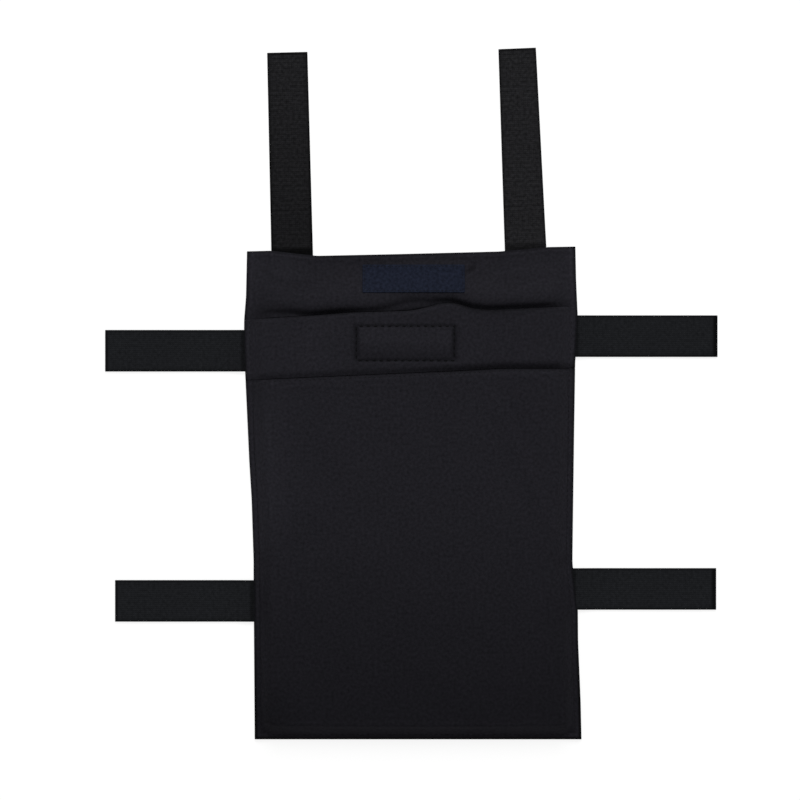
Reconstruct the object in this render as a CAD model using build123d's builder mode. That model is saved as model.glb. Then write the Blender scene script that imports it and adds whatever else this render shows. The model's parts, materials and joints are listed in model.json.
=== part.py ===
from build123d import *
import math
import os

os.makedirs("parts", exist_ok=True)

# A strap-on kick shield: a flat cloth sleeve that holds a foam pad, closed by a hook-and-loop patch at its
# mouth, with six webbing straps sewn into its edges. Millimetres.
# The shield lies on its back: +Z points up through its front, +Y towards the two top straps, and the origin
# is on the surface it lies on, under the middle of the whole outline.

# ---- Cloth, tape and webbing ----
cloth = 0.8  # one layer of the shell cloth
lining = 2.0  # foam-backed lining cloth
tape = 1.2  # hook tape and loop tape
webbing = 1.2  # thickness of every strap
webbing_width = 25.4  # one-inch webbing
label_cloth = 0.6
thread = 0.3  # how far a row of stitches stands up
thread_width = 0.6
slip = 0.3  # gap round whatever slides, turns or folds

# ---- The sleeve's outline ----
sleeve_length = 297.5
top_width = 200.1
chest_width = 202.6  # at the upper side straps
waist_width = 194.2
bottom_width = 199.1
chest_drop = 58.0  # from the top edge down to the chest
waist_drop = 189.0
waist_shift = 1.1  # how far the middle of the waist stands to the right
bottom_shift = 4.1
top_slant = 1.0  # degrees that the top edge rises to the right
seam_allowance = 9.0
edge_roll = 8.0  # how far the front runs in from the edge as it rises over the pad
rim = 1.0  # what is left of the front's face beside the lip

# ---- Mouth and lip ----
lip_seam_drop = 74.7  # from the top edge down to the lip's seam
lip_seam_slant = 2.26  # degrees
mouth_drop = 35.5  # from the top edge down to the lip's free edge
mouth_slant = 1.4  # degrees
patch_width = 63.8
patch_height = 25.4  # one-inch tape
patch_shift = -3.4
patch_drop = 56.2  # from the top edge down to the middle of the patches
stitch_margin = 2.0  # from a patch's edge in to its stitches
label_width = 62.3
label_height = 17.3
label_shift = 1.4
label_drop = 16.9  # from the top edge down to the middle of the label
label_stitch_margin = 1.2

# ---- Foam pad ----
pad_thickness = 6.0
pad_clearance = 2.4  # between the pad's edge and the rolled sides of the sleeve
pad_setback = 10.0  # from the lip's seam down to the pad's upper end
pad_corner = 8.0

# ---- Straps ----
side_strap_free = 85.0  # length outside the sleeve
top_strap_free = 122.4
side_root = 8.0  # length sewn into the sleeve's edge
top_root = 14.0
# Top straps: place along the top edge, and degrees that they lean to the left
top_straps = {
    "left_top_strap": (-72.6, 1.4),
    "right_top_strap": (69.6, 2.4),
}
# Side straps: side of the sleeve, and the middle's distance from the top edge or from the bottom edge
LEFT, RIGHT = -1, 1
upper_straps = {"left_upper_strap": (LEFT, 60.75), "right_upper_strap": (RIGHT, 51.85)}
lower_straps = {"left_lower_strap": (LEFT, 84.35), "right_lower_strap": (RIGHT, 91.65)}

# ---- Places that follow from the sizes ----
bottom = -(sleeve_length + top_strap_free) / 2
top = bottom + sleeve_length
side_straps = {name: (side, top - drop) for name, (side, drop) in upper_straps.items()}
side_straps |= {name: (side, bottom + rise) for name, (side, rise) in lower_straps.items()}

# Heights, from the surface that the shield lies on
back_top = cloth
root_top = back_top + webbing
ledge_top = root_top + cloth  # top of the seam allowance, which holds the strap ends
band_top = back_top + cloth
pad_low = max(back_top + lining, band_top + tape, ledge_top) + slip
pad_top = pad_low + pad_thickness
lip_thickness = 2 * cloth
front_top = pad_top + slip + max(lining + cloth, tape + lip_thickness)
front_under = front_top - cloth
lip_under = front_top - lip_thickness
hinge_height = front_under  # the lip turns about the middle of its two layers
# Axes that the straps fold about, so that they come to lie over the front, the top straps over the side straps
side_fold_height = (front_top + thread + slip + root_top) / 2
top_fold_height = side_fold_height + (webbing + slip) / 2

# The front's sloped sides
wall_lean = math.degrees(math.atan(edge_roll / (front_top - ledge_top)))
wall_run = cloth / math.cos(math.radians(wall_lean))  # the sloped cloth, measured level

# Slanted lines across the sleeve: height at the middle, and rise per millimetre to the right
top_edge = (top, math.tan(math.radians(top_slant)))
lip_seam = (top - lip_seam_drop, math.tan(math.radians(lip_seam_slant)))
mouth = (top - mouth_drop, math.tan(math.radians(mouth_slant)))

# Height, shift and width of the sleeve, from the bottom up
stations = [
    (bottom, bottom_shift, bottom_width),
    (top - waist_drop, waist_shift, waist_width),
    (top - chest_drop, 0, chest_width),
    (top, 0, top_width),
]


def line_y(line, x):
    """Height of a slanted line at x."""
    middle, rise = line
    return middle + rise * x


def edge_x(side, y):
    """Where the sleeve's left or right edge is at height y."""
    upper = next((i for i in range(1, len(stations)) if y <= stations[i][0]), len(stations) - 1)
    (y0, shift0, width0), (y1, shift1, width1) = stations[upper - 1], stations[upper]
    share = (y - y0) / (y1 - y0)
    shift = shift0 + share * (shift1 - shift0)
    width = width0 + share * (width1 - width0)
    return shift + side * width / 2


def farthest_edge(side, low, high):
    """x of the sleeve's edge where it stands out most between two heights."""
    heights = [low, high] + [y for y, _, _ in stations if low < y < high]
    return side * max(side * edge_x(side, y) for y in heights)


def inner_wall(z):
    """How far in from the edge the inside of the front's sloped wall is at height z."""
    return (z - ledge_top) * edge_roll / (front_top - ledge_top) + wall_run


def sleeve_shape(inset=0.0, mode=Mode.ADD):
    """The sleeve's outline, drawn inset from its edge."""
    left, right = [], []
    for side, points in ((LEFT, left), (RIGHT, right)):
        for y, _, _ in stations:
            height = y
            if y == bottom:
                height = bottom + inset
            if y == top:
                height = line_y(top_edge, edge_x(side, top)) - inset
            points.append((edge_x(side, height) - side * inset, height))
    Polygon(*right, *reversed(left), align=None, mode=mode)


def keep_between(low, high):
    """Cuts the sketch down to what lies between two slanted lines."""
    far = max(width for _, _, width in stations)
    lower = [(x, line_y(low, x)) for x in (-far, far)]
    upper = [(x, line_y(high, x)) for x in (far, -far)]
    Polygon(*lower, *upper, align=None, mode=Mode.INTERSECT)


def raised(line, distance):
    """The same slanted line, moved up the sleeve."""
    return (line[0] + distance, line[1])


def side_end(name):
    """The plan of a side strap's sewn end: a strip of the sleeve's edge as long as the strap is wide."""
    side, y = side_straps[name]
    sleeve_shape()
    sleeve_shape(side_root, mode=Mode.SUBTRACT)
    with Locations((edge_x(side, y), y)):
        Rectangle(4 * side_root, webbing_width, mode=Mode.INTERSECT)


def top_strap_base(name):
    """Where a top strap's middle crosses the top edge, turned with the strap's lean."""
    place, lean = top_straps[name]
    return Location((place, line_y(top_edge, place)), lean)


def sewn_end(name, margin=0.0):
    """The plan of a top strap's sewn end with a margin round it, up to the top edge."""
    with Locations(top_strap_base(name) * Location((0, -top_root - margin))):
        past_edge = webbing_width / 2
        height = margin + top_root + past_edge
        Rectangle(webbing_width + 2 * margin, height, align=(Align.CENTER, Align.MIN))
    keep_between(beyond_bottom, top_edge)


def stitched_rectangle(width, height):
    """A closed row of stitches along a rectangle of this size."""
    Rectangle(width + thread_width, height + thread_width)
    Rectangle(width - thread_width, height - thread_width, mode=Mode.SUBTRACT)


beyond_top = raised(top_edge, seam_allowance)
beyond_bottom = (bottom - seam_allowance, 0)

# ---- Back panel: one layer, the whole height of the sleeve ----
with BuildPart() as back_panel:
    with BuildSketch():
        sleeve_shape()
    extrude(amount=cloth)
back_panel.part.label = "back_panel"
export_step(back_panel.part, "parts/back_panel.step")

# ---- Back lining: from the bottom seam up to the top band ----
with BuildPart() as back_lining:
    with BuildSketch(Plane.XY.offset(back_top)):
        sleeve_shape(seam_allowance)
        keep_between(beyond_bottom, lip_seam)
    extrude(amount=lining)
back_lining.part.label = "back_lining"
export_step(back_lining.part, "parts/back_lining.step")

# ---- Top band: the facing above and behind the mouth, raised over the ends of the top straps ----
with BuildPart() as top_band:
    with BuildSketch(Plane.XY.offset(back_top)):
        sleeve_shape()
        keep_between(mouth, beyond_top)
    extrude(amount=cloth)
    with BuildSketch(Plane.XY.offset(back_top)):
        sleeve_shape(seam_allowance)
        keep_between(lip_seam, raised(mouth, seam_allowance))
    extrude(amount=cloth)
    for name in top_straps:
        with BuildSketch(Plane.XY.offset(back_top)):
            sewn_end(name, margin=cloth)
        extrude(amount=webbing + cloth)
    for name in top_straps:
        with BuildSketch(Plane.XY.offset(back_top)):
            sewn_end(name)
        extrude(amount=webbing, mode=Mode.SUBTRACT)
top_band.part.label = "top_band"
export_step(top_band.part, "parts/top_band.step")

# ---- Front panel: rises from the seam allowance over the pad, open at the mouth ----
with BuildPart() as front_panel:
    with BuildSketch(Plane.XY.offset(back_top)):
        sleeve_shape()
    extrude(amount=ledge_top - back_top)
    with BuildSketch(Plane.XY.offset(ledge_top)):
        sleeve_shape()
    extrude(amount=front_top - ledge_top, taper=wall_lean)
    # the pouch, above the seam allowance and between it
    with BuildSketch(Plane.XY.offset(ledge_top)):
        sleeve_shape(wall_run)
    extrude(amount=front_under - ledge_top, taper=wall_lean, mode=Mode.SUBTRACT)
    with BuildSketch(Plane.XY.offset(back_top)):
        sleeve_shape(seam_allowance)
    extrude(amount=ledge_top - back_top, mode=Mode.SUBTRACT)
    # the place of the lip, and everything above the mouth
    with BuildSketch(Plane.XY.offset(front_under)):
        sleeve_shape(edge_roll + rim)
        keep_between(lip_seam, beyond_top)
    extrude(amount=2 * cloth, mode=Mode.SUBTRACT)
    with BuildSketch(Plane.XY.offset(back_top)):
        Rectangle(2 * chest_width, 2 * sleeve_length)
        keep_between(mouth, raised(beyond_top, sleeve_length))
    extrude(amount=front_top, mode=Mode.SUBTRACT)
    # slots for the sewn ends of the side straps
    for name in side_straps:
        with BuildSketch(Plane.XY.offset(back_top)):
            side_end(name)
        extrude(amount=webbing, mode=Mode.SUBTRACT)
front_panel.part.label = "front_panel"
export_step(front_panel.part, "parts/front_panel.step")

# ---- Front lining: under the front panel's face, up to the lip's seam ----
with BuildPart() as front_lining:
    with BuildSketch(Plane.XY.offset(front_under - lining)):
        sleeve_shape(edge_roll + rim + slip)
        keep_between(beyond_bottom, raised(lip_seam, -rim))
    extrude(amount=lining)
front_lining.part.label = "front_lining"
export_step(front_lining.part, "parts/front_lining.step")

# ---- Lip: the doubled band at the mouth, which closes down on the top band ----
with BuildPart() as lip_band:
    with BuildSketch(Plane.XY.offset(lip_under)):
        sleeve_shape(edge_roll + rim + slip)
        keep_between(raised(lip_seam, slip), mouth)
    extrude(amount=lip_thickness)
lip_band.part.label = "lip_band"
export_step(lip_band.part, "parts/lip_band.step")

# ---- Hook patch under the lip, and loop patch on the top band ----
patch_place = (patch_shift, top - patch_drop)
with BuildPart() as hook_patch:
    with BuildSketch(Plane.XY.offset(lip_under - tape)):
        with Locations(patch_place):
            Rectangle(patch_width, patch_height)
    extrude(amount=tape)
hook_patch.part.label = "hook_patch"
export_step(hook_patch.part, "parts/hook_patch.step")

with BuildPart() as loop_patch:
    with BuildSketch(Plane.XY.offset(band_top)):
        with Locations(patch_place):
            Rectangle(patch_width, patch_height)
    extrude(amount=tape)
loop_patch.part.label = "loop_patch"
export_step(loop_patch.part, "parts/loop_patch.step")

# ---- Label: a plain woven patch on the top band ----
label_place = (label_shift, top - label_drop)
with BuildPart() as label_patch:
    with BuildSketch(Plane.XY.offset(band_top)):
        with Locations(label_place):
            Rectangle(label_width, label_height)
    extrude(amount=label_cloth)
label_patch.part.label = "label_patch"
export_step(label_patch.part, "parts/label_patch.step")

# ---- Foam pad, which slides out through the mouth ----
pad_inset = inner_wall(pad_top) + pad_clearance
pad_left = max(edge_x(LEFT, y) for y, _, _ in stations) + pad_inset
pad_right = min(edge_x(RIGHT, y) for y, _, _ in stations) - pad_inset
pad_foot = bottom + pad_inset
pad_head = line_y(lip_seam, edge_x(LEFT, lip_seam[0])) - pad_setback
with BuildPart() as foam_pad:
    with BuildSketch(Plane.XY.offset(pad_low)):
        with Locations(((pad_left + pad_right) / 2, (pad_foot + pad_head) / 2)):
            RectangleRounded(pad_right - pad_left, pad_head - pad_foot, pad_corner)
    extrude(amount=pad_thickness)
foam_pad.part.label = "foam_pad"
export_step(foam_pad.part, "parts/foam_pad.step")

# ---- Side straps: the sewn end in the seam allowance, and the free length outside ----
side_hinges = {}
for name, (side, y) in side_straps.items():
    with BuildPart() as root:
        with BuildSketch(Plane.XY.offset(back_top)):
            side_end(name)
        extrude(amount=webbing)
    root.part.label = f"{name}_root"
    export_step(root.part, f"parts/{name}_root.step")

    start = farthest_edge(side, y - webbing_width / 2, y + webbing_width / 2) + side * slip
    side_hinges[name] = (start, y, side_fold_height)
    with BuildPart() as strap:
        with BuildSketch(Plane.XY.offset(back_top)):
            with Locations((start + side * side_strap_free / 2, y)):
                Rectangle(side_strap_free, webbing_width)
        extrude(amount=webbing)
    strap.part.label = name
    export_step(strap.part, f"parts/{name}.step")

# ---- Top straps: the sewn end under the top band, and the free length beyond the top edge ----
top_hinges = {}
for name, (place, lean) in top_straps.items():
    with BuildPart() as root:
        with BuildSketch(Plane.XY.offset(back_top)):
            sewn_end(name)
        extrude(amount=webbing)
    root.part.label = f"{name}_root"
    export_step(root.part, f"parts/{name}_root.step")

    gap = slip + webbing_width / 2 * math.tan(math.radians(lean + top_slant))
    start = top_strap_base(name) * Location((0, gap))
    top_hinges[name] = (start.position.X, start.position.Y, top_fold_height)
    with BuildPart() as strap:
        with BuildSketch(Plane.XY.offset(back_top)):
            with Locations(start):
                Rectangle(webbing_width, top_strap_free - gap, align=(Align.CENTER, Align.MIN))
        extrude(amount=webbing)
    strap.part.label = name
    export_step(strap.part, f"parts/{name}.step")

# ---- Sewing threads ----
with BuildPart() as patch_stitching:
    with BuildSketch(Plane.XY.offset(front_top)):
        with Locations(patch_place):
            stitched_rectangle(patch_width - 2 * stitch_margin, patch_height - 2 * stitch_margin)
    extrude(amount=thread)
patch_stitching.part.label = "patch_stitching"
export_step(patch_stitching.part, "parts/patch_stitching.step")

with BuildPart() as label_stitching:
    with BuildSketch(Plane.XY.offset(band_top + label_cloth)):
        with Locations(label_place):
            sewn_margin = 2 * label_stitch_margin
            stitched_rectangle(label_width - sewn_margin, label_height - sewn_margin)
    extrude(amount=thread)
label_stitching.part.label = "label_stitching"
export_step(label_stitching.part, "parts/label_stitching.step")

with BuildPart() as lip_seam_stitching:
    with BuildSketch(Plane.XY.offset(front_top)):
        sleeve_shape(edge_roll + rim)
        sewn_line = raised(lip_seam, -stitch_margin)
        keep_between(raised(sewn_line, -thread_width / 2), raised(sewn_line, thread_width / 2))
    extrude(amount=thread)
lip_seam_stitching.part.label = "lip_seam_stitching"
export_step(lip_seam_stitching.part, "parts/lip_seam_stitching.step")

# one thread round the two sides and the bottom, through the seam allowance
with BuildPart() as edge_seam_stitching:
    with BuildSketch(Plane.XY.offset(ledge_top)):
        sleeve_shape(seam_allowance / 2)
        sleeve_shape(seam_allowance / 2 + thread_width, mode=Mode.SUBTRACT)
        keep_between(beyond_bottom, raised(mouth, -stitch_margin))
    extrude(amount=thread)
edge_seam_stitching.part.label = "edge_seam_stitching"
export_step(edge_seam_stitching.part, "parts/edge_seam_stitching.step")
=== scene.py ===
import json
import math

import bpy
import numpy as np
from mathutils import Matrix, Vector


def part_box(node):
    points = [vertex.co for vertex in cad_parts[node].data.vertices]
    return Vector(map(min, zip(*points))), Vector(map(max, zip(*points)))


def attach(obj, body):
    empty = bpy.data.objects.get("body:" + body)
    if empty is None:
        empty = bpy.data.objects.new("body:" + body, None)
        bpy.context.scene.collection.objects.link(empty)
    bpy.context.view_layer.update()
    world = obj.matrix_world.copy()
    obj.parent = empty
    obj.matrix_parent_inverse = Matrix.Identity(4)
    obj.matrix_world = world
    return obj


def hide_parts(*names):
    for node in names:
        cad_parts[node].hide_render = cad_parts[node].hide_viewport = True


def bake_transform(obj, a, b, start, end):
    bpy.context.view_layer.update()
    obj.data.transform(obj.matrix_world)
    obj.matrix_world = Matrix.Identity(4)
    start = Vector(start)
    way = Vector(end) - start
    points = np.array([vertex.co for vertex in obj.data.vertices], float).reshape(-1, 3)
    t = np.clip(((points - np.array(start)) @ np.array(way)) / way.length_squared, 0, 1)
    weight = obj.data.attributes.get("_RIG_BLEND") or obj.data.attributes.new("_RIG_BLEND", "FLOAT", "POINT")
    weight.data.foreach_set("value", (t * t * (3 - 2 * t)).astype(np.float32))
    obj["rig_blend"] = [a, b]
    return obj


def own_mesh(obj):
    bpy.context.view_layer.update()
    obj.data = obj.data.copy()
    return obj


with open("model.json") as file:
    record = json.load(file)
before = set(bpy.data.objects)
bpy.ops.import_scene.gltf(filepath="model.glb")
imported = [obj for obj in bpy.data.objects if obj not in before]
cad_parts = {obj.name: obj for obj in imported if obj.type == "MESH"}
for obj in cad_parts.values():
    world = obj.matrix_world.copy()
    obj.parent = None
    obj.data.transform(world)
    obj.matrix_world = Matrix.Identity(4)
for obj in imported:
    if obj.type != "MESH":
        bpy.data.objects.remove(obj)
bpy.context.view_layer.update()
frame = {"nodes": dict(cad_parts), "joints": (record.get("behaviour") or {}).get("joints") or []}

# A strap-on kick shield: a cloth sleeve over a foam pad, closed by a lip with a hook patch, with six straps
# sewn into its edges. Lengths here are millimetres; Blender's are metres. +Z points up through the front.
MM = 0.001
LEFT, RIGHT = -1, 1
rng = np.random.default_rng(7)


# ---- What the frame says ----
def node_box(node):
    """Lowest and highest corner of a CAD node, in millimetres."""
    low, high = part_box(node)
    return np.array(low) / MM, np.array(high) / MM


def node_middle(node):
    """The middle of a CAD node's box, in millimetres."""
    low, high = node_box(node)
    return (low + high) / 2


def plan_corners(node):
    """The corners of a flat CAD node seen from above, in millimetres."""
    points = np.array([vertex.co[:2] for vertex in frame["nodes"][node].data.vertices]) / MM
    return np.unique(points.round(2), axis=0)


def side_corners(node, side):
    """The node's corners on the left (-1) or right (1) side, from the bottom up."""
    corners = plan_corners(node)
    corners = corners[corners[:, 0] * side > 0]
    return corners[corners[:, 1].argsort()]


def line_through(left, right):
    """The height of the slanted line through two corners, as a function of x."""
    slope = (right[1] - left[1]) / (right[0] - left[0])

    def height(x):
        return left[1] + slope * (x - left[0])

    return height


OUTLINE = {side: side_corners("back_panel", side) for side in (LEFT, RIGHT)}
LIP = {side: side_corners("lip_band", side) for side in (LEFT, RIGHT)}
top_line = line_through(OUTLINE[LEFT][-1], OUTLINE[RIGHT][-1])
seam_line = line_through(LIP[LEFT][0], LIP[RIGHT][0])
mouth_line = line_through(LIP[LEFT][-1], LIP[RIGHT][-1])
bottom = OUTLINE[LEFT][0][1]

# Thickness of the shell's cloth and of the doubled lip, and the gap under a piece that lies on another
CLOTH, LIP_CLOTH, GAP = 0.8, 1.5, 0.02
# Heights above the floor: the back, the facing on it, the sewn rim of the front, the front over the pad
back_top = node_box("back_panel")[1][2]
band_top = back_top + CLOTH
rim_top = 2.5
front_top = node_box("lip_band")[1][2]

# How far the sewn edges wander out from the straight outline, as (height, distance)
EDGE_WANDER = {
    LEFT: [(60, 0.1), (46, 0.9), (12, 0.6), (-40, 0.3), (-64, -0.2), (-110, 0.2), (-150, 0.1), (-200, 0)],
    RIGHT: [(70, 0), (48, 0.5), (20, -1.2), (-28, -0.8), (-77, -0.3), (-104, 0), (-131, 1.8), (-150, 1),
            (-187, 0.7), (-208, 0.1)],
}
# How far the lip's free edge, its seam and the top edge wander up, as (x, distance)
MOUTH_WANDER = [(-92, -4), (-60, -2.7), (-38, -1.4), (-7, -1.2), (0, -1.2), (9, 0.5), (18, 3), (27, 3),
                (35, -0.3), (47, -2), (63, -1.6), (91, -1)]
SEAM_WANDER = [(-90, -0.4), (30, 0.1), (55, 0.6), (90, -0.8)]
TOP_WANDER = [(-99, 1.6), (-86, 1.7), (-58, -1.9), (-6, -1.7), (54, -1.2), (84, 1), (99, 1)]
# How deep the crease between the lip and the facing is and how dark its painted shade, as (x, share)
CREASE = [(-100, 0.1), (-92, 0.35), (-83, 0.45), (-61, 0.8), (-45, 1), (-31, 0.65), (-16, 0.6), (0, 0.5),
          (12, 0.45), (20, 0.8), (27, 1), (42, 0.95), (60, 0.9), (79, 0.75), (91, 0.4), (100, 0)]
# The middle of the pucker beside the label, the start of the soft fold in the front, and how each runs
PUCKER, PUCKER_HEADING = (36.5, 76), (0.76, 0.65)
FOLD, FOLD_HEADING = (46, 4.6), (0.411, -0.912)


# ---- Lines and soft steps ----
def smooth(t):
    """0 below 0, 1 above 1 and a soft step between."""
    t = np.clip(t, 0, 1)
    return t * t * (3 - 2 * t)


def hill(x, middle, reach):
    """A rounded bump, 1 at its middle and nearly 0 at twice its reach."""
    return np.exp(-(((x - middle) / reach) ** 2))


def wander(points, at):
    """The distance at a place, in straight runs between the given (place, distance) points."""
    places, distances = np.array(sorted(points)).T
    return np.interp(at, places, distances)


def soft_wander(points, at):
    """The wander with its corners rounded off."""
    return sum(wander(points, at + shift) for shift in (-4, -2, 0, 2, 4)) / 5


def measured_from(start, heading, x, y):
    """How far a point lies along a heading from its start, and how far to the right of it."""
    east, north = x - start[0], y - start[1]
    return east * heading[0] + north * heading[1], east * heading[1] - north * heading[0]


def edge(side, y):
    """x of the sleeve's edge at height y."""
    corners = OUTLINE[side]
    return np.interp(y, corners[:, 1], corners[:, 0]) + side * wander(EDGE_WANDER[side], y)


def side_inset(x, y):
    """Distance in from the nearer side edge."""
    return np.minimum(x - edge(LEFT, y), edge(RIGHT, y) - x)


def bottom_edge(x):
    """The sleeve's level bottom edge."""
    return np.full_like(x, bottom)


def top_edge(x):
    """The sleeve's slanted top edge, pulled up at its corners."""
    return top_line(x) + wander(TOP_WANDER, x)


def mouth(x):
    """The lip's free edge: it sags at the left and is pushed up right of the middle."""
    return mouth_line(x) + soft_wander(MOUTH_WANDER, x)


def seam(x):
    """The seam that joins the lip to the front cloth."""
    return seam_line(x) + soft_wander(SEAM_WANDER, x)


def positions(length, step, fine, margins):
    """Shares of a length, a step apart, and closer together within the margins at both ends."""
    low, high = margins
    places = np.concatenate([
        np.arange(0, low, fine),
        np.arange(low, length - high, step),
        np.arange(length - high, length, fine),
    ])
    distinct = np.append(np.diff(places), fine) > fine / 2
    return np.append(places[distinct], length) / length


# ---- Surfaces of the sleeve, and the light and shade painted on them ----
def outlined(inset, share=0.45):
    """Painted shade that darkens the last millimetre or two to a sewn or cut edge."""
    return share * (1 - smooth((inset - 0.9) / 1.3))


def edge_painted_shading(x, y):
    """Painted shade along the very edge, a painted highlight on the ridge of its seam, and a little painted
    light where it climbs the pad.
    """
    inset = side_inset(x, y)
    dark = outlined(inset, 0.3 + 0.12 * smooth(x) + 0.28 * smooth((-y - 120) / 80))
    ridge = (0.2 + 0.12 * smooth(x)) * hill(inset, 3.0, 0.9)
    slope = 0.09 * hill(inset, 5.6, 3)
    return dark - ridge - slope


def beside_seam(x, y, reach_above, reach_below):
    """1 on the lip's seam, fading out on either side."""
    above = y - seam(x)
    return hill(above, 0, np.where(above > 0, reach_above, reach_below))


def seam_groove(x, y):
    """Depth of the groove along the lip's seam: deeper to the right, and wider on the lip's side."""
    deep = (1.1 + 0.9 * smooth((x + 30) / 90)) * smooth((side_inset(x, y) - 1) / 9)
    return deep * beside_seam(x, y, 2.6, 1.5)


def seam_painted_shade(x, y):
    """Painted shade in that groove, darker to the right."""
    return (0.33 + 0.2 * smooth((x + 10) / 60)) * beside_seam(x, y, 2.6, 1.2)


def sewn_edge(inset):
    """Height above the floor near a sewn edge: the turned seam and the ridge of its allowance."""
    turned_down = 1.3 * (1 - smooth(inset / 1.4))
    ridge = 0.8 * hill(inset, 2.2, 1.0)
    return rim_top - turned_down + ridge


def rise(inset):
    """0 on the seam allowance, 1 over the pad."""
    allowance, slope_width = 3.0, 9.2
    return smooth((inset - allowance) / slope_width) ** 0.8


def front_surface(x, y):
    """Top of the front, from its sewn edges up onto the pad."""
    side, foot = side_inset(x, y), y - bottom
    return sewn_edge(np.minimum(side, foot)) + (front_top - rim_top) * rise(side) * rise(foot)


def soft_fold(x, y):
    """A soft fold that runs from the lip's seam, right of the middle, down to the lower right strap."""
    along, beside = measured_from(FOLD, FOLD_HEADING, x, y)
    ridge = hill(beside, 0, 4) - 0.6 * hill(beside, -7, 5)
    return 0.7 * ridge * smooth((along + 5) / 25) * (1 - smooth((along - 85) / 35))


def front_painted_shading(x, y):
    """Painted shade deepening towards the foot and its left corner, paler by the left side, and painted
    highlights on the ridge and up the slope of the foot.
    """
    foot = y - bottom
    # Painted shade, deeper towards the foot and in its left corner, and paler by the left side
    painted_shading = 0.27 * smooth((-y - 50) / 130) + 0.1 * smooth((-y - 150) / 60)
    painted_shading += 0.14 * smooth((-y - 170) / 40) * smooth((-x - 60) / 30)
    painted_shading -= 0.25 * hill(y, -45, 50) * hill(x, -90, 16)
    # Painted highlights on the ridge and the slope of the foot, and painted shade along its edge
    foot_ridge = 0.4 * hill(foot, 3.5, 1.3)
    foot_slope = 0.23 * smooth((foot - 4.2) / 2) * smooth((12 - foot) / 1.6)
    painted_shading += outlined(foot, 0.6) - (foot_ridge + foot_slope) * smooth((side_inset(x, y) - 2) / 7)
    return painted_shading + edge_painted_shading(x, y) + seam_painted_shade(x, y)


def crease_fold(x):
    """How far above the lip's edge the crease has its bottom."""
    return 1.8 + 4.6 * hill(x, 0, 13) + 2.7 * smooth((-58 - x) / 25)


def crease_painted_shade(x, y):
    """Painted shade of the crease: a dark core that fades slowly up the facing, and a tuck in the middle."""
    beyond = y - mouth(x)
    above_fold = beyond - crease_fold(x)
    share = soft_wander(CREASE, x)
    core = 0.28 * share * hill(above_fold, 0, 1.7 + 1.8 * smooth((-58 - x) / 25))
    slope = 0.22 * share**0.5 * (1 - smooth(above_fold / 10))
    tuck = 0.3 * hill(x, -3, 17) * hill(beyond, 0.4, 1.8)
    return 1 - (1 - core) * (1 - slope) * (1 - tuck)


def pucker(x, y):
    """1 in the small pucker at the label's upper right corner, and how far a point lies to its right."""
    along, beside = measured_from(PUCKER, PUCKER_HEADING, x, y)
    return hill(beside, 0, 1.2) * hill(along, 0, 4.5), beside


TOP_STRAP_MIDDLES = [node_middle(node)[0] for node in ("left_top_strap_root", "right_top_strap_root")]


def over_strap_ends(x, y):
    """1 over the sewn ends of the top straps, 0 elsewhere."""
    half_width, length = 17, 22
    raised = 0 * x
    for middle in TOP_STRAP_MIDDLES:
        beside = smooth((half_width - np.abs(x - middle)) / 5)
        below = smooth((y - (top_edge(x) - length)) / 9)
        raised = np.maximum(raised, beside * below)
    return raised


def band_roll(x, y):
    """The soft roll of the facing above the lip, with the crease between the two."""
    height, width = 4.8, 25
    beyond = y - mouth(x)
    above_fold = beyond - crease_fold(x)
    crest = height * smooth((side_inset(x, y) - 4) / 16) * (1 - 0.12 * np.sin(x / 21))
    fall = 1 - smooth((above_fold - 1.5) / width)
    notch = 0.46 * soft_wander(CREASE, x) * (1 - 0.4 * hill(x, -6, 16)) * hill(above_fold, -1.6, 2.2)
    return crest * fall * (1 - notch) * smooth((beyond + 1.2) / 1.2)


def band_surface(x, y):
    """Top of the facing: raised over the strap ends, puckered beside the label, turned down at its edges."""
    z = band_top + 1.2 * over_strap_ends(x, y) + band_roll(x, y)
    z += 0.25 * np.sin(x / 11 + 0.5) * np.sin(y / 9) + 0.2 * np.sin(x / 23 + y / 17)
    puckered, beside = pucker(x, y)
    z += 0.7 * hill(beside, 2.8, 2) * hill(y, PUCKER[1], 5) - 1.1 * puckered
    inset = np.minimum(side_inset(x, y), top_edge(x) - y)
    return z - 0.7 * (1 - smooth(inset / 1.6)) + 0.35 * hill(inset, 2.6, 1.4)


def band_painted_shading(x, y):
    """Painted shade of the facing along its edges, in its crease and in the pucker; paler at the right and
    in the upper left corner.
    """
    painted_shading = edge_painted_shading(x, y) + outlined(top_edge(x) - y) + crease_painted_shade(x, y) + 0.5 * pucker(x, y)[0]
    return painted_shading - 0.07 * smooth((x - 10) / 30) - 0.16 * smooth((-x - 50) / 30) * smooth((y - 62) / 14)


# Opposite corners of the rectangle sewn round the hook patch
stitch_low, stitch_high = node_box("patch_stitching")
stitch_low, stitch_high = stitch_low[:2] + 0.3, stitch_high[:2] - 0.9


def beyond_patch(x, y):
    """How far a point lies outside the sewn rectangle, sideways and lengthways; negative inside it."""
    middle, half = (stitch_low + stitch_high) / 2, (stitch_high - stitch_low) / 2
    return np.abs(x - middle[0]) - half[0], np.abs(y - middle[1]) - half[1]


def patch_seam(sideways, lengthways):
    """1 on the sewn line, and 1 beside its two short ends, where it is drawn in wider and deeper."""
    ends = smooth((sideways - lengthways) / 2)
    return hill(np.maximum(sideways, lengthways), 0, 0.9 + 0.6 * ends), ends


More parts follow.
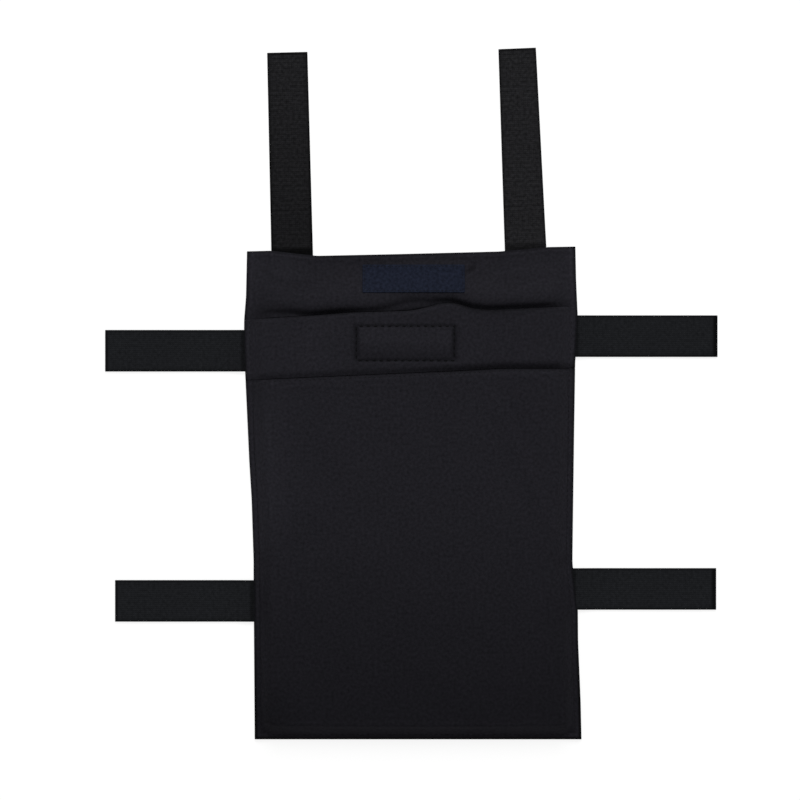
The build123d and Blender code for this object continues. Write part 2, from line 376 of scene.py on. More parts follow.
def lip_surface(x, y):
    """Top of the lip: waved over the pad, sewn down round the patch and rolled under at the mouth."""
    over_pad = rise(side_inset(x, y))
    above_seam = y - seam(x)
    z = front_surface(x, y) - seam_groove(x, y)
    z += over_pad * 0.35 * np.sin(x / 15 + 1) * smooth(above_seam / 30)
    z += over_pad * 0.25 * np.sin(x / 6.5) * smooth((above_seam - 24) / 14)
    sideways, lengthways = beyond_patch(x, y)
    z += 0.9 * np.clip(-lengthways / 10, 0, 1) ** 0.6 * np.clip(-sideways / 6, 0, 1) ** 0.5
    sewn_line, ends = patch_seam(sideways, lengthways)
    z -= (0.6 + 0.5 * ends) * sewn_line
    return z - 1.5 * over_pad * (1 - smooth((mouth(x) - y) / 2.8)) ** 2


def lip_painted_shading(x, y):
    """Painted shading of the lip: shade along its edges, seam and sewn line, painted light and shade on the
    padded patch, painted shade in the crease at the mouth.
    """
    sideways, lengthways = beyond_patch(x, y)
    sewn_line, ends = patch_seam(sideways, lengthways)
    to_mouth = mouth(x) - y
    painted_shading = (0.32 + 0.18 * ends) * sewn_line + edge_painted_shading(x, y) + seam_painted_shade(x, y)
    # Paler to the left, and a painted highlight on the slope where the lip climbs the pad
    painted_shading -= 0.02 + 0.08 * smooth((-x - 30) / 30)
    painted_shading -= 0.26 * hill(side_inset(x, y), 6.5, 3.2) * smooth(to_mouth / 8)
    # Painted shade at the foot of the padded patch and a painted highlight below its head
    inside = smooth(-np.maximum(sideways, lengthways) / 2)
    painted_shading += inside * (0.16 * smooth((stitch_low[1] + 9 - y) / 7) - 0.1 * hill(y, stitch_high[1] - 7, 5))
    crease_reach = 1.3 + 0.8 * smooth((x - 20) / 20) + 0.9 * smooth((-60 - x) / 20)
    return painted_shading + 0.68 * soft_wander(CREASE, x) * hill(to_mouth, 0, crease_reach)


# ---- Meshes ----
def unit_grid(columns, rows):
    """Shares from 0 to 1 across and along a rectangle."""
    return np.meshgrid(np.linspace(0, 1, columns), np.linspace(0, 1, rows))


def joined_points(x, y, z):
    """One grid of points from its coordinates, each a grid or a single number."""
    return np.stack(np.broadcast_arrays(x, y, z), -1).astype(float)


def between_edges(low, high, across, along):
    """Plan grid between the sleeve's side edges and between two lines, one row for each place in along."""
    u = across[None, :]
    v = along[:, None]
    x = np.zeros((len(along), len(across)))
    y = x + bottom
    # The edges depend on y and the lines on x, so a few rounds bring the two together
    for _ in range(4):
        y = low(x) + v * (high(x) - low(x))
        x = edge(LEFT, y) + u * (edge(RIGHT, y) - edge(LEFT, y))
    return x, y


def grid_faces(rows, columns):
    """The vertex numbers of a grid, and its faces."""
    index = np.arange(rows * columns).reshape(rows, columns)
    corners = index[:-1, :-1], index[:-1, 1:], index[1:, 1:], index[1:, :-1]
    return index, np.stack(corners, -1).reshape(-1, 4)


def unrolled(points):
    """Distances over the cloth from its middle column and row, so that slopes don't stretch the weave."""
    distances = []
    for axis in (1, 0):
        steps = np.linalg.norm(np.diff(points, axis=axis), axis=2)
        far = np.insert(steps.cumsum(axis), 0, 0, axis)
        distances.append(far - np.take(far, [points.shape[axis] // 2], axis))
    return np.stack(distances, -1)


def linked_object(name, data):
    """A new object in the scene, made of a mesh, a camera or a light."""
    made = bpy.data.objects.new(name, data)
    bpy.context.scene.collection.objects.link(made)
    return made


def slab(name, top, under, material, painted_shading=None):
    """A closed sheet between two grids of points in millimetres, rows x columns x 3."""
    rows, columns = top.shape[:2]
    count = rows * columns
    index, upper = grid_faces(rows, columns)
    ring = np.concatenate([index[0, :-1], index[:-1, -1], index[-1, :0:-1], index[:0:-1, 0]])
    following = np.roll(ring, -1)
    border = np.stack([following, ring, ring + count, following + count], -1)
    faces = np.concatenate([upper, upper[:, ::-1] + count, border])
    vertices = np.concatenate([top.reshape(-1, 3), under.reshape(-1, 3)]) * MM
    mesh = bpy.data.meshes.new(name)
    mesh.from_pydata(vertices.tolist(), [], faces.tolist())
    mesh.materials.append(material)
    both = np.tile(unrolled(top).reshape(-1, 2) * MM, (2, 1))
    layer = mesh.uv_layers.new(name="Cloth")
    loops = np.zeros(len(mesh.loops), int)
    mesh.loops.foreach_get("vertex_index", loops)
    layer.uv.foreach_set("vector", both[loops].astype(np.float32).ravel())
    # Painted light and shade, as a share darker (below 0, lighter), the same on both sides of the sheet
    painted = np.zeros((rows, columns)) if painted_shading is None else np.clip(painted_shading, -0.5, 0.95)
    attribute = mesh.attributes.new("painted_shading", "FLOAT", "POINT")
    attribute.data.foreach_set("value", np.tile(painted.ravel(), 2).astype(np.float32))
    mesh.shade_smooth()
    piece = linked_object(name, mesh)
    apply_subdivision(piece)
    return piece


def apply_subdivision(piece):
    """Rounds a piece with one level of subdivision and keeps the result as its mesh."""
    modifier = piece.modifiers.new("rounding", "SUBSURF")
    modifier.levels = 1
    graph = bpy.context.evaluated_depsgraph_get()
    graph.update()
    mesh = bpy.data.meshes.new_from_object(piece.evaluated_get(graph), depsgraph=graph)
    piece.modifiers.clear()
    rough, piece.data = piece.data, mesh
    bpy.data.meshes.remove(rough)
    mesh.name = piece.name


def tubes(name, runs, material, sides=6):
    """One mesh of closed tubes, from each one's points, the level direction beside them and its radii."""
    turns = np.arange(sides) * math.tau / sides
    vertices, faces = [], []
    for points, beside, radii in runs:
        ahead = np.gradient(points, axis=0)
        ahead /= np.linalg.norm(ahead, axis=1, keepdims=True)
        around = np.cos(turns)[:, None] * beside + np.sin(turns)[:, None] * np.cross(ahead, beside)[:, None]
        rings = points[:, None] + radii[:, None, None] * around
        index = len(vertices) + np.arange(len(points) * sides).reshape(-1, sides)
        following = np.roll(index, -1, axis=1)
        walls = np.stack([index[:-1], following[:-1], following[1:], index[1:]], -1)
        vertices += (rings.reshape(-1, 3) * MM).tolist()
        faces += walls.reshape(-1, 4).tolist()
        faces += [index[0, ::-1].tolist(), index[-1].tolist()]
    mesh = bpy.data.meshes.new(name)
    mesh.from_pydata(vertices, [], faces)
    mesh.materials.append(material)
    mesh.shade_smooth()
    return linked_object(name, mesh)


def height_at(piece, x, y):
    """Height of a piece's top surface, in millimetres, or None beside it."""
    above_all = 100
    start = Vector((x * MM, y * MM, above_all * MM))
    hit, place, _, _ = piece.ray_cast(start, Vector((0, 0, -1)))
    return place.z / MM if hit else None


def stitches(name, line, pitch, length, surfaces, material, radius):
    """A row of sewn stitches along a line of points, lying on the surfaces and diving in at both ends."""
    points_each = 7
    middle_point = points_each // 2
    buried = 0.25
    line = np.array(line, float)
    far = np.insert(np.hypot(*np.diff(line, axis=0).T).cumsum(), 0, 0)
    count = max(1, round(far[-1] / pitch))
    arch = np.sin(np.linspace(0, math.pi, points_each))
    runs = []
    for middle in (np.arange(count) + 0.5) * far[-1] / count:
        along = middle + np.linspace(-length / 2, length / 2, points_each)
        x, y = (np.interp(along, far, line[:, axis]) for axis in (0, 1))
        heights = [height_at(surface, x[middle_point], y[middle_point]) for surface in surfaces]
        heights = [height for height in heights if height is not None]
        if heights:
            z = max(heights) - buried - 0.5 * radius + (buried + 1.1 * radius) * arch
            beside = np.array([y[0] - y[-1], x[-1] - x[0], 0]) / math.hypot(x[-1] - x[0], y[-1] - y[0])
            runs.append((joined_points(x, y, z), beside, radius * (0.55 + 0.45 * arch)))
    return tubes(name, runs, material)


# ---- Materials ----
def textile(name, colour, thread, grain=0.21, mottle=0.2, bump=0.3):
    """Woven cloth: warp and weft a thread apart, grain, soft mottling and the light and shade painted on the
    mesh.
    """
    speckle_size, speckle_share = 1.9, 5.5
    fuzz_size, fuzz_share = 0.9, 0.8
    mottle_size = 26
    material = bpy.data.materials.new(name)
    material.use_nodes = True
    nodes, links = material.node_tree.nodes, material.node_tree.links
    shader = nodes["Principled BSDF"]
    shader.inputs["Roughness"].default_value = 0.85
    shader.inputs["Specular IOR Level"].default_value = 0.03
    place = nodes.new("ShaderNodeUVMap")
    place.uv_map = "Cloth"

    def maths(operation, a, b):
        node = nodes.new("ShaderNodeMath")
        node.operation = operation
        for socket, value in zip(node.inputs, (a, b)):
            if isinstance(value, (int, float)):
                socket.default_value = value
            else:
                links.new(value, socket)
        return node.outputs[0]

    def noise(size, detail=2):
        node = nodes.new("ShaderNodeTexNoise")
        node.inputs["Scale"].default_value = 1 / (size * MM)
        node.inputs["Detail"].default_value = detail
        links.new(place.outputs[0], node.inputs["Vector"])
        return node.outputs["Fac"]

    waves = []
    for direction in ("X", "Y"):
        wave = nodes.new("ShaderNodeTexWave")
        wave.bands_direction = direction
        # At scale 1 the bands are pi / 10 apart
        wave.inputs["Scale"].default_value = math.pi / 10 / (thread * MM)
        wave.inputs["Distortion"].default_value = 1.5
        wave.inputs["Detail"].default_value = 1
        links.new(place.outputs[0], wave.inputs["Vector"])
        waves.append(wave.outputs["Fac"])
    weave = maths("MULTIPLY", *waves)

    # The painted light and shade from the mesh
    painted = nodes.new("ShaderNodeAttribute")
    painted.attribute_name = "painted_shading"
    # Brightness = (1 + weave + speckle + mottling) * (1 - painted shading), round 1 on average where nothing
    # is painted
    speckle = maths("MULTIPLY", maths("SUBTRACT", noise(speckle_size), 0.5), speckle_share * grain)
    mottling = maths("MULTIPLY", noise(mottle_size, 3), mottle)
    brightness = maths("ADD", 1.0 - grain * 0.25 - mottle * 0.5, maths("MULTIPLY", weave, grain))
    brightness = maths("ADD", brightness, speckle)
    brightness = maths("ADD", brightness, mottling)
    brightness = maths("MULTIPLY", brightness, maths("SUBTRACT", 1.0, painted.outputs["Fac"]))
    # The colour sockets of a mix node have no names of their own: 6 and 7 go in, and 2 comes out
    tint = nodes.new("ShaderNodeMix")
    tint.data_type = "RGBA"
    tint.blend_type = "MULTIPLY"
    tint.inputs["Factor"].default_value = 1
    tint.inputs[6].default_value = (*colour, 1)
    links.new(brightness, tint.inputs[7])
    links.new(tint.outputs[2], shader.inputs["Base Color"])

    relief = nodes.new("ShaderNodeBump")
    relief.inputs["Strength"].default_value = bump
    relief.inputs["Distance"].default_value = thread * MM * 0.4
    fuzz = maths("MULTIPLY", noise(fuzz_size), fuzz_share)
    links.new(maths("ADD", weave, fuzz), relief.inputs["Height"])
    links.new(relief.outputs[0], shader.inputs["Normal"])
    return material


shell_cloth = textile("shell_cloth", (0.0136, 0.0131, 0.0166), thread=0.55)
lining_cloth = textile("lining_cloth", (0.016, 0.016, 0.018), thread=0.9, bump=0.5)
foam_cover = textile("pad_cover", (0.030, 0.030, 0.033), thread=0.7, mottle=0.3)
label_cloth = textile("label_cloth", (0.0100, 0.0125, 0.0225), thread=0.35, grain=0.3)
hook_tape = textile("hook_tape", (0.014, 0.014, 0.015), thread=0.8)
loop_tape = textile("loop_tape", (0.016, 0.016, 0.017), thread=0.8)
side_webbing = textile("side_webbing", (0.0115, 0.0122, 0.0139), thread=1.2, bump=0.4)
top_webbing = textile("top_webbing", (0.0136, 0.0135, 0.0147), thread=1.2, grain=0.35, bump=0.4)


def plain_thread(name, darkest, lightest):
    """Sewing thread, a little blue, with darker and lighter fibres."""
    fibre_size, blueness = 0.5, 1.15
    material = bpy.data.materials.new(name)
    material.use_nodes = True
    nodes, links = material.node_tree.nodes, material.node_tree.links
    shader = nodes["Principled BSDF"]
    shader.inputs["Roughness"].default_value = 0.8
    shader.inputs["Specular IOR Level"].default_value = 0.06
    place = nodes.new("ShaderNodeTexCoord")
    fibres = nodes.new("ShaderNodeTexNoise")
    fibres.inputs["Scale"].default_value = 1 / (fibre_size * MM)
    links.new(place.outputs["Object"], fibres.inputs["Vector"])
    ramp = nodes.new("ShaderNodeValToRGB")
    for element, shade in zip(ramp.color_ramp.elements, (darkest, lightest)):
        element.color = (shade, shade, blueness * shade, 1)
    links.new(fibres.outputs["Fac"], ramp.inputs[0])
    links.new(ramp.outputs[0], shader.inputs["Base Color"])
    return material


sewing_thread = plain_thread("sewing_thread", 0.0012, 0.0035)
matching_thread = plain_thread("matching_thread", 0.0075, 0.0125)

# ---- Camera: straight above, so far off that its view is this wide at the level of the cloth ----
VIEW_WIDTH, VIEW_LEVEL = 487.0 * MM, 2 * MM
VIEW_X, VIEW_Y = -6.9 * MM, -3.2 * MM
camera_data = bpy.data.cameras.new("camera")
camera_data.lens = 100
camera_data.sensor_width = 36
camera_data.clip_start, camera_data.clip_end = 0.05, 20
camera = linked_object("camera", camera_data)
camera.location = (VIEW_X, VIEW_Y, VIEW_LEVEL + VIEW_WIDTH * camera_data.lens / camera_data.sensor_width)
bpy.context.scene.camera = camera
bpy.context.scene.view_settings.view_transform = "Standard"


# ---- Floor, sky and lamp. Floor and sky look brighter to the camera than they light the object ----
def seen_directly(nodes, links):
    """1 for a ray from the camera or off glossy or through clear surfaces, else 0."""
    path = nodes.new("ShaderNodeLightPath")
    total = path.outputs["Is Camera Ray"]
    for other in ("Is Glossy Ray", "Is Transmission Ray"):
        either = nodes.new("ShaderNodeMath")
        either.operation = "MAXIMUM"
        links.new(total, either.inputs[0])
        links.new(path.outputs[other], either.inputs[1])
        total = either.outputs[0]
    return total


FLOOR_REACH, FLOOR_PAINT = 4.0, 0.85
GLOW_STRENGTH, GLOW_SHARE = 1.15, 0.7
floor_mesh = bpy.data.meshes.new("floor")
floor_corners = [(x * FLOOR_REACH, y * FLOOR_REACH, 0) for x, y in ((-1, -1), (1, -1), (1, 1), (-1, 1))]
floor_mesh.from_pydata(floor_corners, [], [(0, 1, 2, 3)])
floor = linked_object("floor", floor_mesh)
floor_material = bpy.data.materials.new("floor")
floor_material.use_nodes = True
nodes, links = floor_material.node_tree.nodes, floor_material.node_tree.links
nodes.clear()
paint = nodes.new("ShaderNodeBsdfDiffuse")
paint.inputs["Color"].default_value = (FLOOR_PAINT, FLOOR_PAINT, FLOOR_PAINT, 1)
glow = nodes.new("ShaderNodeEmission")
glow.inputs["Strength"].default_value = GLOW_STRENGTH
share = nodes.new("ShaderNodeMath")
share.operation = "MULTIPLY"
share.inputs[1].default_value = GLOW_SHARE
mix = nodes.new("ShaderNodeMixShader")
output = nodes.new("ShaderNodeOutputMaterial")
links.new(seen_directly(nodes, links), share.inputs[0])
links.new(share.outputs[0], mix.inputs["Fac"])
links.new(paint.outputs[0], mix.inputs[1])
links.new(glow.outputs[0], mix.inputs[2])
links.new(mix.outputs[0], output.inputs["Surface"])
floor_mesh.materials.append(floor_material)

SKY_LIGHT, SKY_SEEN = 0.5, 1.0
world = bpy.data.worlds.new("studio")
bpy.context.scene.world = world
world.use_nodes = True
nodes, links = world.node_tree.nodes, world.node_tree.links
sky = nodes["Background"]
sky.inputs["Color"].default_value = (1, 1, 1, 1)
strength = nodes.new("ShaderNodeMapRange")
strength.inputs["To Min"].default_value = SKY_LIGHT
strength.inputs["To Max"].default_value = SKY_SEEN
links.new(seen_directly(nodes, links), strength.inputs["Value"])
links.new(strength.outputs["Result"], sky.inputs["Strength"])

lamp = bpy.data.lights.new("key", "AREA")
lamp.shape = "RECTANGLE"
lamp.size, lamp.size_y = 1.6, 1.0
lamp.energy = 41
key = linked_object("key", lamp)
key.location = (0.15, 1.9, 1.5)
key.rotation_euler = (-key.location).to_track_quat("-Z", "Y").to_euler()

# ---- Sleeve: back cloth ----
# This width, like each length given to positions, is near the real one and only sets the spacing
SLEEVE_WIDTH = 200
x, y = between_edges(
    bottom_edge, top_edge,
    positions(SLEEVE_WIDTH, step=5, fine=1.0, margins=(8, 8)),
    positions(297, step=5, fine=1.0, margins=(6, 6)),
)
ripple = 0.06 * (1 + np.sin(x / 9 + 0.4) * np.sin(y / 14))
top = joined_points(x, y, back_top - 0.15 + ripple)
back_cloth = slab("back_cloth", top, joined_points(x, y, GAP), shell_cloth)
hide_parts("back_panel")
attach(back_cloth, "sleeve")


# ---- Sleeve: top band, the facing above and behind the mouth ----
def band_foot(x):
    """The lower edge of the facing, just above the lip's seam and hidden by the lip."""
    return seam(x) + 1.5


def press_flat(piece):
    """Gives the piece a mesh of its own."""
    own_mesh(piece)


x, y = between_edges(
    band_foot, top_edge,
    positions(SLEEVE_WIDTH, step=1.7, fine=0.8, margins=(8, 8)),
    positions(73, step=0.8, fine=0.5, margins=(2, 3)),
)
z = np.maximum(band_surface(x, y), band_top - 0.5)
behind_lip = y < mouth(x) - 2
z = np.where(behind_lip, np.minimum(z, band_top + 0.3), z)
under = np.minimum(z - 0.15, np.maximum(back_top + GAP, z - CLOTH))
top_band = slab("top_band_cloth", joined_points(x, y, z), joined_points(x, y, under), shell_cloth,
                band_painted_shading(x, y))
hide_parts("top_band")
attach(top_band, "sleeve")
press_flat(top_band)


# ---- Front cloth: settles on the pad, held along its seams, a little slack ----
def settled(points, pinned, slack, frames):
    """Drapes the grid as cloth over a copy of itself. Ten times life size, which suits Blender's cloth."""
    scale = 10 * MM
    _, faces = grid_faces(*points.shape[:2])
    objects = []
    for name, lift in (("support", -0.6), ("draping", 0.0)):
        mesh = bpy.data.meshes.new(name)
        mesh.from_pydata(((points.reshape(-1, 3) + (0, 0, lift)) * scale).tolist(), [], faces.tolist())
        objects.append(linked_object(name, mesh))
    support, draping = objects
    support.modifiers.new("collision", "COLLISION")
    support.collision.thickness_outer = 0.3 * scale
    group = draping.vertex_groups.new(name="sewn")
    for vertex, weight in enumerate(pinned.ravel()):
        group.add([vertex], float(weight), "REPLACE")
    cloth = draping.modifiers.new("cloth", "CLOTH")
    settings = cloth.settings
    settings.quality = 6
    settings.mass = 0.2
    settings.vertex_group_mass = "sewn"
    settings.shrink_min = -slack
    settings.bending_stiffness = 4
    settings.tension_stiffness = settings.compression_stiffness = 20
    settings.shear_stiffness = 8
    settings.air_damping = 2
    cloth.collision_settings.distance_min = 0.2 * scale
    cloth.collision_settings.use_self_collision = False
    cloth.point_cache.frame_start, cloth.point_cache.frame_end = 1, frames
    scene = bpy.context.scene
    for number in range(1, frames + 1):
        scene.frame_set(number)
    mesh = draping.evaluated_get(bpy.context.evaluated_depsgraph_get()).to_mesh()
    result = np.zeros(len(mesh.vertices) * 3)
    mesh.vertices.foreach_get("co", result)
    scene.frame_set(1)
    for piece in objects:
        bpy.data.objects.remove(piece)
    return result.reshape(points.shape) / scale


x, y = between_edges(
    bottom_edge, seam,
    positions(SLEEVE_WIDTH, step=3, fine=0.7, margins=(14, 14)),
    positions(222, step=3, fine=1.0, margins=(14, 8)),
)
plan = joined_points(x, y, front_surface(x, y) + soft_fold(x, y))
# Held fast on the seam allowance, and free over the pad
near_seam = np.minimum(np.minimum(side_inset(x, y), y - bottom), seam(x) - y + 1.5)
pinned = 1 - smooth((near_seam - 2.6) / 3.0)
moved = settled(plan, pinned, slack=0.004, frames=24)
# It may settle this far from the plan, as (x, y, z) down and up
most_down, most_up = (-1, -1, -0.1), (1, 1, 1.6)
top = plan + np.clip(moved - plan, most_down, most_up)
top[:, :, 2] -= seam_groove(x, y)
under = top - (0, 0, CLOTH)
under[:, :, 2] = np.maximum(under[:, :, 2], back_top + GAP + 0.1 * smooth(near_seam / 3))
front_cloth = slab("front_cloth", top, under, shell_cloth, front_painted_shading(x, y))
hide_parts("front_panel")
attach(front_cloth, "sleeve")

# ---- Lip: the doubled band at the mouth. It gets its bodies below, once its threads lie on it ----
x, y = between_edges(
    seam, mouth,
    positions(SLEEVE_WIDTH, step=1.1, fine=0.7, margins=(14, 14)),
    positions(40, step=0.8, fine=0.5, margins=(5, 4)),
)
z = lip_surface(x, y)
under = np.maximum(z - LIP_CLOTH, back_top + 0.1)
lip_cloth = slab("lip_cloth", joined_points(x, y, z), joined_points(x, y, under), shell_cloth,
                 lip_painted_shading(x, y))
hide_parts("lip_band")


# ---- Linings ----
def lining_grid(margin, width_share):
    """Plan of a lining that stops a margin inside the seams, its distance in and its quilted waves."""
    def foot(x):
        return np.full_like(x, bottom + margin)

    def head(x):
        return seam(x) - 2

    x, y = between_edges(
        foot, head,
        positions(180, step=4, fine=1.0, margins=(3, 3)),
        positions(210, step=4, fine=1.0, margins=(3, 3)),
    )
    x = x * width_share
    inset = np.minimum(side_inset(x, y) - margin, np.minimum(y - foot(x), head(x) - y))
    return x, y, inset, 1 + np.sin(x / 4) * np.sin(y / 4)


lining_low, lining_high = node_box("back_lining")
x, y, inset, quilting = lining_grid(margin=9, width_share=0.91)
top = joined_points(x, y, lining_high[2] - 0.05 - 0.7 * (1 - smooth(inset / 2.5)) - 0.06 * quilting)
under = joined_points(x, y, lining_low[2] + GAP)
back_lining = slab("back_lining_cloth", top, under, lining_cloth)
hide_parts("back_lining")

lining_low, lining_high = node_box("front_lining")
x, y, inset, quilting = lining_grid(margin=12, width_share=0.875)
top = joined_points(x, y, lining_high[2] - 0.35 - 0.9 * (1 - smooth(inset / 4)))
under = joined_points(x, y, lining_low[2] + 0.05 * quilting + 0.5 * (1 - smooth(inset / 2)))
front_lining = slab("front_lining_cloth", top, under, lining_cloth)
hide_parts("front_lining")
for piece in (back_lining, front_lining):
    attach(piece, "sleeve")

# ---- Foam pad: a flat block with rounded edges and clipped corners, its faces hardly uneven ----
pad_low, pad_high = node_box("foam_pad")
half = (pad_high - pad_low) / 2
middle = (pad_high + pad_low) / 2
u, v = (positions(2 * half[axis], step=5, fine=0.8, margins=(6, 6)) * 2 - 1 for axis in (0, 1))
u, v = np.meshgrid(u, v)
corner_cut = 1 - 0.045 * (np.abs(u) ** 40) * (np.abs(v) ** 40)
x = middle[0] + u * half[0] * corner_cut
y = middle[1] + v * half[1] * corner_cut
inset = np.minimum(half[0] - np.abs(x - middle[0]), half[1] - np.abs(y - middle[1]))
rounding = 1 - 0.8 * (1 - np.clip(inset / 2.2, 0, 1)) ** 2.2
uneven = 0.985 + 0.015 * np.sin(x / 31) * np.sin(y / 37)
z = half[2] * rounding * uneven - 0.05
top, under = joined_points(x, y, middle[2] + z), joined_points(x, y, middle[2] - z)
foam_pad = slab("foam_pad_block", top, under, foam_cover)
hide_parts("foam_pad")
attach(foam_pad, "pad")

# ---- Hook and loop tape: one thread of each, as (distance out, height) ----
HOOK = [(0, 0), (0, 0.35), (0.15, 0.6), (0.4, 0.55)]
LOOP = [(0, 0), (0.1, 0.4), (0.45, 0.6), (0.8, 0.4), (0.9, 0)]


def tape_patch(name, node, facing, material, shape):
    """A patch's woven ground, and on it rows of tiny hooks or loops that face up (1) or down (-1)."""
    thickness, sunk = 0.55, 0.1
    spacing, astray, thread_radius = 1.7, 0.15, 0.13
    low_margin, high_margin = 1.2, 0.8
    low, high = node_box(node)
    ground = low[2] if facing > 0 else high[2]
    u, v = unit_grid(columns=33, rows=15)
    x, y = low[0] + u * (high[0] - low[0]), low[1] + v * (high[1] - low[1])
    lower, upper = sorted((ground, ground + facing * thickness))
    tape = slab(name, joined_points(x, y, upper), joined_points(x, y, lower), material)
    out, up = np.array(shape).T
    z = ground + facing * (thickness - sunk + up)
    runs = []
    for row, foot_y in enumerate(np.arange(low[1] + low_margin, high[1] - high_margin, spacing)):
        first = low[0] + low_margin + spacing / 2 * (row % 2)
        for foot_x in np.arange(first, high[0] - high_margin, spacing):
            astray_x, astray_y = rng.uniform(-astray, astray, 2)
            turn = 1 if rng.random() < 0.5 else -1
            thread = joined_points(foot_x + astray_x + turn * out, foot_y + astray_y, z)
            runs.append((thread, np.array([0, 1, 0]), np.full(len(out), thread_radius)))
    return tape, tubes(name + "_pile", runs, material, sides=4)


for name, node, facing, body, material, shape in (
    ("hook_tape_patch", "hook_patch", -1, "lip", hook_tape, HOOK),
    ("loop_tape_patch", "loop_patch", 1, "sleeve", loop_tape, LOOP),
):
    tape, pile = tape_patch(name, node, facing, material, shape)
    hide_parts(node)
    for piece in (tape, pile):
        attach(piece, body)

# ---- Label: lies on the facing, with a raised rim and a groove where it is sewn ----
label_low, label_high = node_box("label_patch")
label_size = label_high - label_low
u, v = unit_grid(columns=63, rows=19)
x = label_low[0] + u * label_size[0]
y = label_low[1] + v * label_size[1]
inset = np.minimum(np.minimum(u, 1 - u) * label_size[0], np.minimum(v, 1 - v) * label_size[1])
z = band_surface(x, y) + 0.45 + 0.2 * (1 - smooth((inset - 1.8) / 1)) - 0.2 * hill(inset, 1.2, 0.6)
label = slab("label", joined_points(x, y, z), joined_points(x, y, z - 0.5), label_cloth)
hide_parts("label_patch")
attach(label, "sleeve")
press_flat(label)

# ---- Straps ----
# The stretch that bends as a strap folds, and the height of a strap's middle at the seam and on the floor
BEND, SEAM_HEIGHT, FLOOR_HEIGHT = 12, 1.4, 0.72
# Painted shade at a strap's ends: how dark, far in and gradual it is at the cut tip, and how far out from
# the seam
LEFT_ENDS = {"tip_shade": (0.5, 2.2, 0.8), "seam_shade": 3.0}
RIGHT_ENDS = {"tip_shade": (0.75, 4.0, 2.4), "seam_shade": 1.2}


def strap_axis(name):
    """Where a strap leaves its seam, the direction it runs in, its length, and its width at the seam."""
    corners = plan_corners(name)
    order = np.hypot(*(corners - node_middle("back_panel")[:2]).T).argsort()
    near, far = corners[order[:2]], corners[order[2:]]
    base, tip = near.mean(0), far.mean(0)
    length = np.hypot(*(tip - base))
    return base, (tip - base) / length, length, np.hypot(*(near[1] - near[0]))


def webbing_relief(s, t, length, ribs, rib_height):
    """Uneven ribs across the webbing, and a raised line along each selvedge."""
    uneven = 0.75 + 0.35 * np.sin(s / 5.3 + 2 * t) * np.cos(s / 11.7 - 3 * t)
    weaving = 2 * math.pi * s / ribs + 0.7 * np.sin(s / 8.1 + 1.5 * t)
    rib = rib_height * uneven * np.cos(weaving) * (1 - np.abs(t) ** 10) * smooth((length - s) / 2)
    return rib + 0.06 * hill(np.abs(t), 0.88, 0.06)


def webbing_painted_shade(s, t, length, tip_shade, seam_shade):
    """Painted shade at the cut tip, at the seam and along the selvedges."""
    share, reach, run = tip_shade
    tip = share * smooth((s - length + reach) / run)
    root = 0.5 * (1 - smooth((s - seam_shade + 2) / 2))
    selvedge = 0.55 * smooth((np.abs(t) - 0.86) / 0.08)
    return np.maximum(np.maximum(tip, root), selvedge)


def strap(name, material, ribs, rib_height, tip_width, root_length, tip_shade, seam_shade, longer=0.0,
          shading=(0, 0)):
    """
    One length of webbing from its sewn end out to its cut tip, lying down to the floor.
    ribs is the distance between its ribs, and shading is its shade at the seam and at the tip.
    """
    base, heading, length, width = strap_axis(name)
    sideways = np.array([heading[1], -heading[0]])
    # s runs out along the strap in millimetres, and t across it from -1 to 1
    s = np.concatenate([np.arange(-root_length, length - 0.6, 0.5), [length - 0.5, length]])
    t = np.array([-1, -0.96, -0.88, -0.7, -0.5, -0.25, 0, 0.25, 0.5, 0.7, 0.88, 0.96, 1])
    s, t = np.meshgrid(s, t, indexing="ij")
    out = np.clip(s / length, 0, 1)
    length += longer
    s = np.where(s > 0, s * (1 + longer / length), s)
    half = width / 2 * (1 + (tip_width / width - 1) * out)
    x, y = (base[axis] + s * heading[axis] + t * half * sideways[axis] for axis in (0, 1))

    # The length of a strap's name shifts its waves, so that the straps don't all lie alike
    wave = 1 + np.sin(s / 19 + len(name)) * np.cos(t)
    wobble = 0.12 * wave * smooth(s / 20) * smooth((length - s) / 12)
    z = SEAM_HEIGHT + smooth(s / 14) * (FLOOR_HEIGHT - SEAM_HEIGHT) + wobble
    thick = 0.5 * (1 - 0.45 * np.abs(t) ** 14)
    upper = joined_points(x, y, z + thick + webbing_relief(s, t, length, ribs, rib_height))
    lower = joined_points(x, y, np.maximum(z - thick, GAP))
    # Painted shade at the tip, the seam and the selvedges, plus the strap's own shading from seam to tip
    painted_shading = webbing_painted_shade(s, t, length, tip_shade, seam_shade) + shading[0] + out * (shading[1] - shading[0])
    piece = slab(name + "_webbing", upper, lower, material, painted_shading)
    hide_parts(name, name + "_root")
    start = Vector((*base, SEAM_HEIGHT)) * MM
    end = Vector((*(base + heading * BEND), SEAM_HEIGHT)) * MM
    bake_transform(piece, "sleeve", name, start=start, end=end)


# Each side strap's ends, how much longer it is than in the CAD, and its even shade
for name, ends, longer, shade in (
    ("left_upper_strap", LEFT_ENDS, 0, 0),
    ("right_upper_strap", RIGHT_ENDS, 0, 0.02),
    ("left_lower_strap", LEFT_ENDS, -0.7, -0.04),
    ("right_lower_strap", RIGHT_ENDS, 0.8, -0.04),
):
    strap(name, side_webbing, ribs=1.6, rib_height=0.03, tip_width=25.4, root_length=7, longer=longer,
          shading=(shade, shade), **ends)
for name, tip_width, shading in (("left_top_strap", 24.6, (0.36, 0.04)), ("right_top_strap", 22.9, (0, 0))):
    strap(name, top_webbing, ribs=2.9, rib_height=0.12, tip_width=tip_width, root_length=13,
          shading=shading, **LEFT_ENDS)


# ---- Stitching ----
def rectangle(low, high):
    """The four sides between two corners, as one line."""
    return [(low[0], low[1]), (high[0], low[1]), (high[0], high[1]), (low[0], high[1]), (low[0], low[1])]


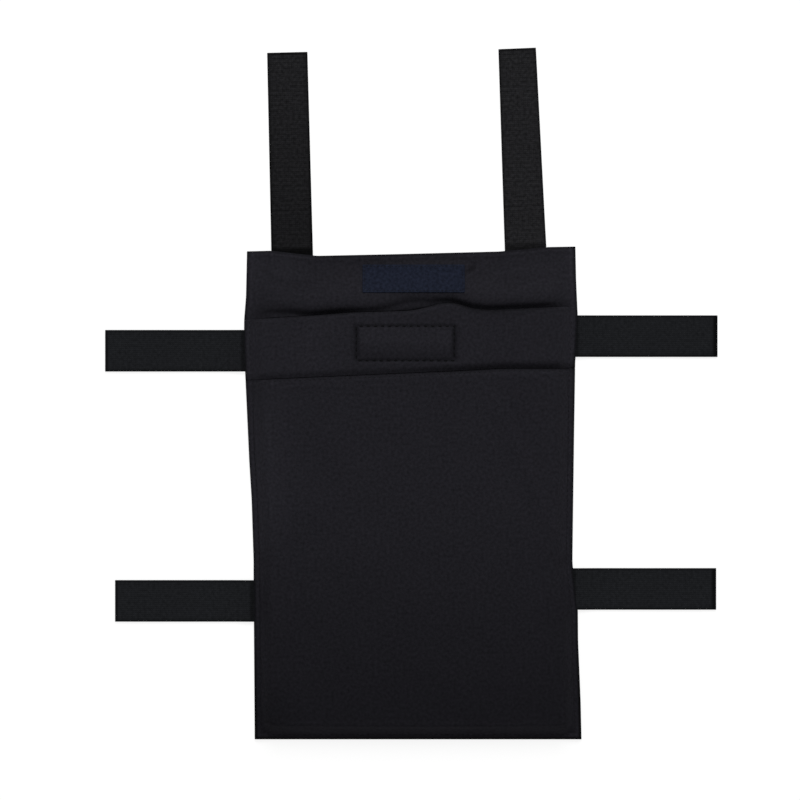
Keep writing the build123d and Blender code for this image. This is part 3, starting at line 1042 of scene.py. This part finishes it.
patch_threads = stitches("patch_stitches", rectangle(stitch_low, stitch_high), pitch=4.35, length=2.9,
                         surfaces=[lip_cloth], material=sewing_thread, radius=0.32)
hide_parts("patch_stitching")
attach(patch_threads, "lip")

low, high = node_box("label_stitching")
label_threads = stitches("label_stitches", rectangle(low + 0.3, high - 0.3), pitch=2.2, length=1.5,
                         surfaces=[label], material=matching_thread, radius=0.14)
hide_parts("label_stitching")
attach(label_threads, "sleeve")
press_flat(label_threads)

below_seam = [(place, seam(place) - 1.6) for place in np.linspace(-90, 91, 90)]
seam_threads = stitches("lip_seam_stitches", below_seam, pitch=3.0, length=2.1,
                        surfaces=[front_cloth], material=matching_thread, radius=0.18)
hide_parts("lip_seam_stitching")
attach(seam_threads, "sleeve")

# Down the left side, along the bottom and up the right side
SEWN_IN = 3.6
heights = np.linspace(mouth_line(-100) - 4, bottom + 3.2, 120)
inside_edges = [(edge(LEFT, height) + SEWN_IN, height) for height in heights]
inside_edges += [(edge(RIGHT, height) - SEWN_IN, height) for height in heights[::-1]]
edge_threads = stitches("edge_seam_stitches", inside_edges, pitch=3.2, length=2.3,
                        surfaces=[front_cloth, lip_cloth], material=matching_thread, radius=0.18)
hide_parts("edge_seam_stitching")
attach(edge_threads, "sleeve")

# ---- The lip turns about its seam and stays sewn at both ends, so its motion fades out towards them ----
hinge = next(joint for joint in frame["joints"] if joint["name"] == "lip_close")
start = Vector(hinge["pos_m"])
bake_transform(lip_cloth, "sleeve", "lip", start=start, end=start + Vector((0, 6 * MM, 0)))
SEWN_END, FREE_FROM = 2, 28
mesh = lip_cloth.data
points = np.zeros(len(mesh.vertices) * 3)
mesh.vertices.foreach_get("co", points)
points = points.reshape(-1, 3) / MM
weights = np.zeros(len(mesh.vertices))
attribute = mesh.attributes["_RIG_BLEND"]
attribute.data.foreach_get("value", weights)
weights *= smooth((side_inset(points[:, 0], points[:, 1]) - SEWN_END) / (FREE_FROM - SEWN_END))
attribute.data.foreach_set("value", weights.astype(np.float32))


# ---- Soft goods: the front cloth's width times its length from the foot to the seam ----
def cut_to(node):
    """Width and length of a CAD node, in metres."""
    low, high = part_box(node)
    return high[0] - low[0], high[1] - low[1]


cut_to("front_panel")[0] * (seam_line(0) - bottom) * MM
